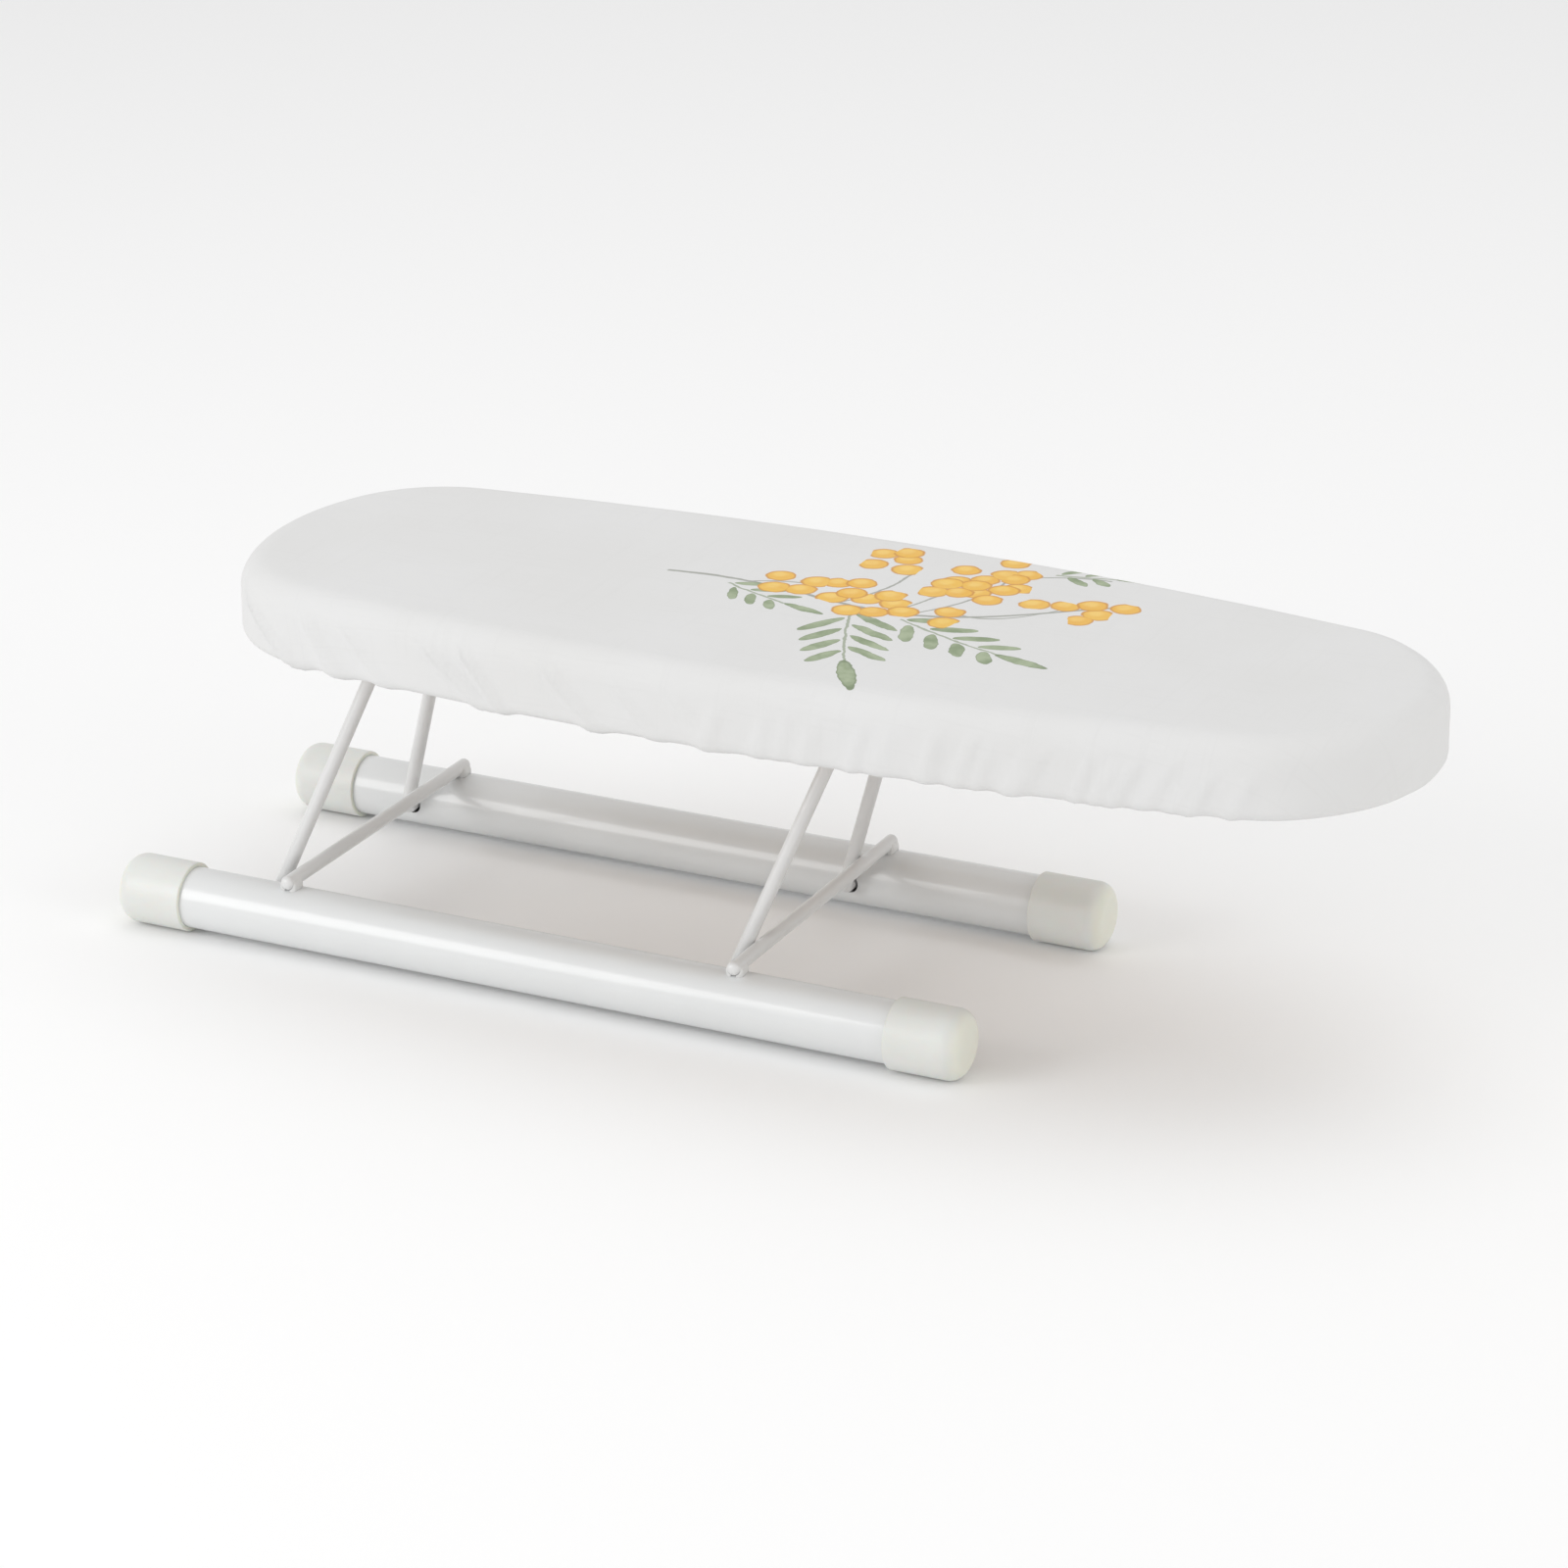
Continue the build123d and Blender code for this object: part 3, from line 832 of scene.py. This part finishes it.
# %% Where the print lies, in mm along and across the board
MAIN_STEM = [(-52, 9), (-31, 11), (-7, 8), (17, 5), (43, 0), (63, 12), (84, 23), (106, 41)]
BRANCHES = [  # places, and whether it runs along the board
    ([(-22, 10), (-12, 15), (0, 17)], True),
    ([(17, 5), (24, 22), (26, 44)], False),
    ([(36, 2), (42, 18), (46, 33)], False),
    ([(40, 0), (55, 24), (58, 55)], False),
    ([(58, 10), (72, 12), (90, 34)], True),
    ([(60, 52), (74, 60), (92, 64)], True),
]
CLUSTERS_LOW = [  # middle, and half width and height
    (-14, 17, 10, 9),
    (8, 14, 17, 10),
    (28, 6, 15, 9),
    (15, 51, 15, 11),
    (54, 52, 14, 20),
    (90, 30, 17, 10),
    (55, 6, 10, 6),
]
CLUSTERS_HIGH = [
    (0, 22, 12, 8),
    (22, 18, 13, 9),
    (20, 60, 11, 7),
    (43, 30, 9, 8),
    (62, 40, 11, 14),
    (100, 40, 12, 9),
    (40, 1, 11, 6),
]
LEAF_SPRAYS = [  # start, end, length of a leaflet, pitch
    ((24, -3), (41, -58), 19.0, 11.0),
    ((42, -3), (90, -28), 15.0, 12.0),
    ((-27, 6), (4, -10), 12.0, 9.0),
    ((72, 62), (98, 66), 11.0, 8.5),
]


print(len(CLUSTERS_LOW) + len(CLUSTERS_HIGH), "clusters and", len(LEAF_SPRAYS), "leaves")

# %% [markdown]
# The cotton itself is a plain weave, off-white and matt. Each thread is a
# sine wave, their product is the weave, and thicker threads, called slubs, run
# through it here and there. The drawing is mixed over it layer by layer, in the
# order a printer would lay the colours: stems, leaves, then berries.

# %% Cotton
THREAD_PITCH = 0.42  # mm
STEM_WIDTH, BRANCH_WIDTH = 1.7, 1.0  # mm


def cotton():
    finish = Finish("printed_cotton", Sheen_Weight=0.12, Sheen_Roughness=0.5)
    uv = finish.add("ShaderNodeUVMap", {"uv_map": "cloth"}).outputs[0]
    split = finish.add("ShaderNodeSeparateXYZ", None, {0: uv})
    x, y = ((Value(finish, split.outputs[i]) - 0.5) * (CUT_SPAN / MM) for i in (0, 1))

    cloud = finish.noise(uv, 9.0, 3.0)
    slubs = finish.noise(uv, 260.0, 2.0, stretch=(0.05, 1, 1)).above(0.62, 0.1)
    slubs = slubs.high(finish.noise(uv, 240.0, 2.0, stretch=(1, 0.05, 1)).above(0.63, 0.1))
    thread = 2 * math.pi / THREAD_PITCH
    warp = (x * thread).math("SINE")
    weft = (y * thread).math("SINE")
    weave = warp * weft
    colour = finish.mix(cloud.above(0.5, 0.5), (0.735, 0.735, 0.733), (0.715, 0.713, 0.706))
    colour = finish.mix(slubs * 0.07, colour, (0.62, 0.62, 0.61))

    # The dye line wanders a little, as hand-drawn edges do.
    wander = finish.noise(uv, 130.0, 2.0) - 0.5
    drawn_x, drawn_y = x + wander * 1.6, y + wander * 1.4
    wash = finish.noise(uv, 75.0, 3.0)
    stems = stroke(drawn_x, drawn_y, MAIN_STEM, STEM_WIDTH, 5)
    for places, along_board in BRANCHES:
        if along_board:
            line = stroke(drawn_x, drawn_y, places, BRANCH_WIDTH)
        else:
            line = stroke(drawn_y, drawn_x, [place[::-1] for place in places], BRANCH_WIDTH)
        stems = stems.high(line)
    colour = finish.mix(stems * 0.85, colour, (0.30, 0.31, 0.27))
    for start, end, leaf, pitch in LEAF_SPRAYS:
        blade, edge, stem = leaf_spray(finish, drawn_x, drawn_y, start, end, leaf, pitch)
        colour = finish.mix(stem * 0.8, colour, (0.28, 0.33, 0.22))
        green = finish.mix(wash.above(0.5, 0.35), (0.21, 0.28, 0.145), (0.36, 0.43, 0.27))
        green = finish.mix(edge * 0.6, green, (0.15, 0.2, 0.105))
        colour = finish.mix(blade * 0.94, colour, green)
    for pitch, shift, clusters in ((11.2, 3.37, CLUSTERS_LOW), (11.6, 9.81, CLUSTERS_HIGH)):
        mask, rim, shine, tone = berries(finish, drawn_x, drawn_y, pitch, shift, clusters)
        yellow = finish.mix(tone, (0.82, 0.46, 0.055), (0.84, 0.52, 0.08))
        yellow = finish.mix(shine * 0.55, yellow, (0.92, 0.66, 0.19))
        yellow = finish.mix(wash.above(0.6, 0.3) * 0.3, yellow, (0.78, 0.36, 0.04))
        yellow = finish.mix(rim * 0.85, yellow, (0.58, 0.25, 0.045))
        colour = finish.mix(mask * 0.97, colour, yellow)
    finish.set(Base_Color=colour, Roughness=weave * 0.04 + 0.86)
    finish.bump(weave * 0.5 + slubs * 0.15 + 0.5, 0.03 * MM)
    return finish


material_only(cover, cotton())
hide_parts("cover")
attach(cover, "board")
print(cover.name, "has", len(cover.data.materials), "material")

# %% [markdown]
# Under the cloth lies a pad of soft foam on the deck. It is a copy of its
# design solid, remeshed into even faces so that it can swell, then filled by
# the cloth solver. It starts slightly small, and each point's move is capped,
# so that none passes the cover: it swells by under half a millimetre, least
# along its edges.

# %% The foam pad
PAD_ROOM = 0.45 * MM  # how far the pad may swell past its start
PAD_GRID = 2.6 * MM
ABOVE_DECK = 0.02 * MM
SWELL_FRAMES = 8


def make_pad():
    pad = merged_copy("foam_pad", "foam_filling")
    even = pad.modifiers.new("even", "REMESH")
    even.mode = "VOXEL"
    even.voxel_size = PAD_GRID
    apply_modifiers(pad)
    points = points_of(pad)
    heart = (Vector(pad_low) + Vector(pad_high)) / 2
    half = (Vector(pad_high) - Vector(pad_low)) / 2
    small = 1 - PAD_ROOM / np.array(half)
    points = np.array(heart) + (points - np.array(heart)) * small
    points[:, 2] = np.maximum(points[:, 2], pad_low.z + ABOVE_DECK)
    move_points(pad, points)
    return pad, points


def swell(pad, points, frames):
    solver = pad.modifiers.new("cloth", "CLOTH")
    solver.settings.quality = 4
    solver.settings.use_pressure = True
    solver.settings.uniform_pressure_force = 1.2
    moves = run_solver(pad, solver, frames) - points
    swollen = points + no_further(moves, PAD_ROOM)
    swollen[:, 2] = np.clip(swollen[:, 2], pad_low.z + ABOVE_DECK, pad_high.z)
    move_points(pad, swollen)


pad, pad_points = make_pad()
swell(pad, pad_points, SWELL_FRAMES)
alone(pad)
bpy.ops.object.shade_smooth()
print("pad", len(pad.data.polygons), "faces")

# %% [markdown]
# The pad is cut from open-celled foam, which yellows with age. It shows only
# when the cover is off, so Voronoi cells as pores are enough: a low bump, and
# painted shade that darkens the colour in each pore.

# %% Foam
def foam():
    finish = Finish("pad_foam", Roughness=0.95)
    place = finish.place()
    cells = finish.add("ShaderNodeTexVoronoi", None, {"Vector": place, "Scale": 1100.0})
    pores_and_shade = Value(finish, cells.outputs["Distance"])
    cloud = finish.noise(place, 30.0, 2.0)
    light = finish.mix(cloud.above(0.5, 0.6), (0.78, 0.76, 0.68), (0.74, 0.71, 0.6))
    # Painted shade: the colour darkens in the pit of each pore.
    finish.set(Base_Color=finish.mix(pores_and_shade.below(0.3, 0.3) * 0.4, light, (0.5, 0.47, 0.38)))
    finish.bump(pores_and_shade, 0.2 * MM)
    return finish


material_only(pad, foam())
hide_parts("foam_pad")
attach(pad, "board")

# %% [markdown]
# The tunnel for the elastic is closed by a row of stitches. One stitch is a
# bead of thread pulled into the cloth; it is modelled once, and each copy is
# turned along the hem.

# %% The hem's stitches
STITCH_LENGTH = 2.6 * MM
STITCH_PITCH = 3.6 * MM
STITCH_WIDTH = 0.55 * MM


def one_stitch():
    bpy.ops.mesh.primitive_cylinder_add(vertices=6, radius=STITCH_WIDTH / 2, depth=STITCH_LENGTH)
    stitch = alone(bpy.context.object)
    stitch.rotation_euler = (0, math.radians(90), 0)
    bpy.ops.object.transform_apply(location=True, rotation=True, scale=True)
    pick_faces(stitch, lambda face: abs(face.normal.x) > 0.9)
    bpy.ops.mesh.inset(thickness=0.3 * STITCH_WIDTH, depth=0.5 * STITCH_WIDTH)
    bpy.ops.object.mode_set(mode="OBJECT")
    return stitch


def hem_stitches():
    stitch = one_stitch()
    row = rim_points + rim_outward * (edge_round - tunnel_out + 0.6 * SEAM_EDGE)
    closed = np.vstack([row, row[:1]])
    walked = walk(closed)
    count = int(walked[-1] / STITCH_PITCH)
    far = walked[-1] * np.arange(count) / count
    spots = spots_along(closed, walked, far)
    aheads = spots_along(closed, walked, far + STITCH_LENGTH)
    copies = []
    for spot, ahead in zip(spots, aheads):
        turn = math.atan2(ahead[1] - spot[1], ahead[0] - spot[0])
        copy = bpy.data.objects.new("stitch", stitch.data.copy())
        copy.location = (*spot, seam_height - middle - STITCH_WIDTH * 0.2)
        copy.rotation_euler = (0, 0, turn)
        bpy.context.scene.collection.objects.link(copy)
        copies.append(copy)
    bpy.data.objects.remove(stitch)
    bpy.ops.object.select_all(action="DESELECT")
    for copy in copies:
        copy.select_set(True)
    bpy.context.view_layer.objects.active = copies[0]
    bpy.ops.object.join()
    bpy.ops.object.transform_apply(location=True, rotation=True, scale=True)
    return bpy.context.object, count


stitches, stitch_count = hem_stitches()
stitches.name = "hem_stitches"
print(stitch_count, "stitches")
thread = Finish("sewing_thread")
twist = thread.noise(thread.place(), 2400.0, 1.0)
thread.set(Base_Color=thread.mix(twist, (0.76, 0.76, 0.75), (0.6, 0.6, 0.59)), Roughness=twist * 0.2 + 0.6)
thread.bump(twist, 0.08 * MM)
material_only(stitches, thread)
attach(stitches, "board")

# %% [markdown]
# The studio is a pale floor under an even white sky, as on a light table. A
# large soft light from the left front draws the folds, one from above lifts
# the flat top, and a faint warm one from the right fills the narrow end. A long
# lens keeps the two feet nearly parallel.

# %% The studio
FLOOR_SIZE, FLOOR_DROP = 12, 0.05 * MM  # the drop keeps the feet off the floor's plane
SKY = 0.76
CAMERA_PLACE = Vector((0.7307, -1.5272, 0.7298))
CAMERA_AIM = Vector((-0.0790, 0.1582, 0.0))
LENS, SENSOR = 120.28, 36


def area_light(name, place, aim, size, power, colour=(1, 1, 1)):
    bpy.ops.object.light_add(type="AREA", location=place)
    light = bpy.context.object
    light.name = name
    light.data.size = size
    light.data.energy = power
    light.data.color = colour
    light.rotation_euler = (Vector(aim) - Vector(place)).to_track_quat("-Z", "Y").to_euler()
    print(name, "light of", power, "W")


bpy.ops.mesh.primitive_plane_add(size=FLOOR_SIZE, location=(0, 0, -FLOOR_DROP))
floor = bpy.context.object
floor.name = "floor"
material_only(floor, Finish("floor_paper", Base_Color=(0.96, 0.96, 0.96), Roughness=0.95))

world = bpy.data.worlds.new("studio")
bpy.context.scene.world = world
world.use_nodes = True
sky = world.node_tree.nodes["Background"]
sky.inputs["Color"].default_value = (1, 1, 1, 1)
sky.inputs["Strength"].default_value = SKY
area_light("key", (-1.3, -1.6, 0.9), (0, 0, 0.08), 1.1, 14)
area_light("top", (0.1, 0.3, 1.8), (0, 0, 0), 1.6, 5)
area_light("right", (2.1, -0.5, 0.7), (0.1, 0, 0.1), 1.2, 6.5, (1, 0.975, 0.94))

# %% The camera
bpy.ops.object.camera_add(location=CAMERA_PLACE)
camera = bpy.context.object
camera.rotation_euler = (CAMERA_AIM - CAMERA_PLACE).to_track_quat("-Z", "Y").to_euler()
camera.data.lens = LENS
camera.data.sensor_width = SENSOR
bpy.context.scene.camera = camera
bpy.context.scene.view_settings.view_transform = "Standard"
